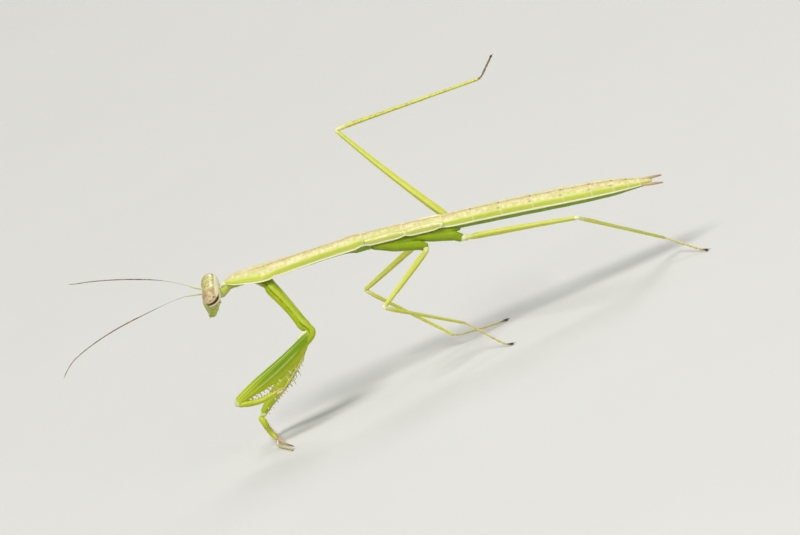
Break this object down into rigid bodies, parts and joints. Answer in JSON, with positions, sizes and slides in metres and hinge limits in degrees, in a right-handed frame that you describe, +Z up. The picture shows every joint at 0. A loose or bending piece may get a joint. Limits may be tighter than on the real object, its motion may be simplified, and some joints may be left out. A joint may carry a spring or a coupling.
{
  "type": "praying mantis",
  "caption": "Life-size still model of a slender young praying mantis, one foreleg folded and one hind leg raised over its back.",
  "frame": {"origin": "on the floor under the middle of the bounding box", "axes": "+X towards the tail, +Y to the animal's right, +Z up"},
  "size_m": [0.0704, 0.0252, 0.0298],
  "materials": {
    "shell_green": "satin pale yellow-green shell, pinkish and speckled along the back",
    "under_green": "satin clear green of the underside",
    "leg_green": "satin green with pale edges",
    "foot_brown": "satin tan to brown",
    "eye_pale": "glossy striped compound eye",
    "feeler_tan": "satin, pale at the root and browner outwards",
    "wing_pad": "satin, pale with a white lower border"
  },
  "bodies": {
    "root": {"abdomen": "shell_green", "antenna_left": "feeler_tan", "antenna_right": "feeler_tan", "cercus_left": "foot_brown", "cercus_right": "foot_brown", "eye_left": "eye_pale", "eye_right": "eye_pale", "fore_coxa_left": "leg_green", "fore_coxa_right": "leg_green", "fore_femur_left": "leg_green", "fore_femur_right": "leg_green", "fore_tarsus_left": "foot_brown", "fore_tarsus_right": "foot_brown", "fore_tibia_left": "leg_green", "fore_tibia_right": "leg_green", "head": "shell_green", "hind_coxa_left": "under_green", "hind_coxa_right": "under_green", "hind_femur_left": "leg_green", "hind_femur_right": "leg_green", "hind_tarsus_left": "foot_brown", "hind_tarsus_right": "foot_brown", "hind_tibia_left": "leg_green", "hind_tibia_right": "leg_green", "mesothorax": "shell_green", "metathorax": "shell_green", "mid_coxa_left": "under_green", "mid_coxa_right": "under_green", "mid_femur_left": "leg_green", "mid_femur_right": "leg_green", "mid_tarsus_left": "foot_brown", "mid_tarsus_right": "foot_brown", "mid_tibia_left": "leg_green", "mid_tibia_right": "leg_green", "mouthparts": "shell_green", "neck": "under_green", "prothorax": "shell_green", "wing_pad_fore_left": "wing_pad", "wing_pad_fore_right": "wing_pad", "wing_pad_hind_left": "wing_pad", "wing_pad_hind_right": "wing_pad"}
  },
  "joints": []
}
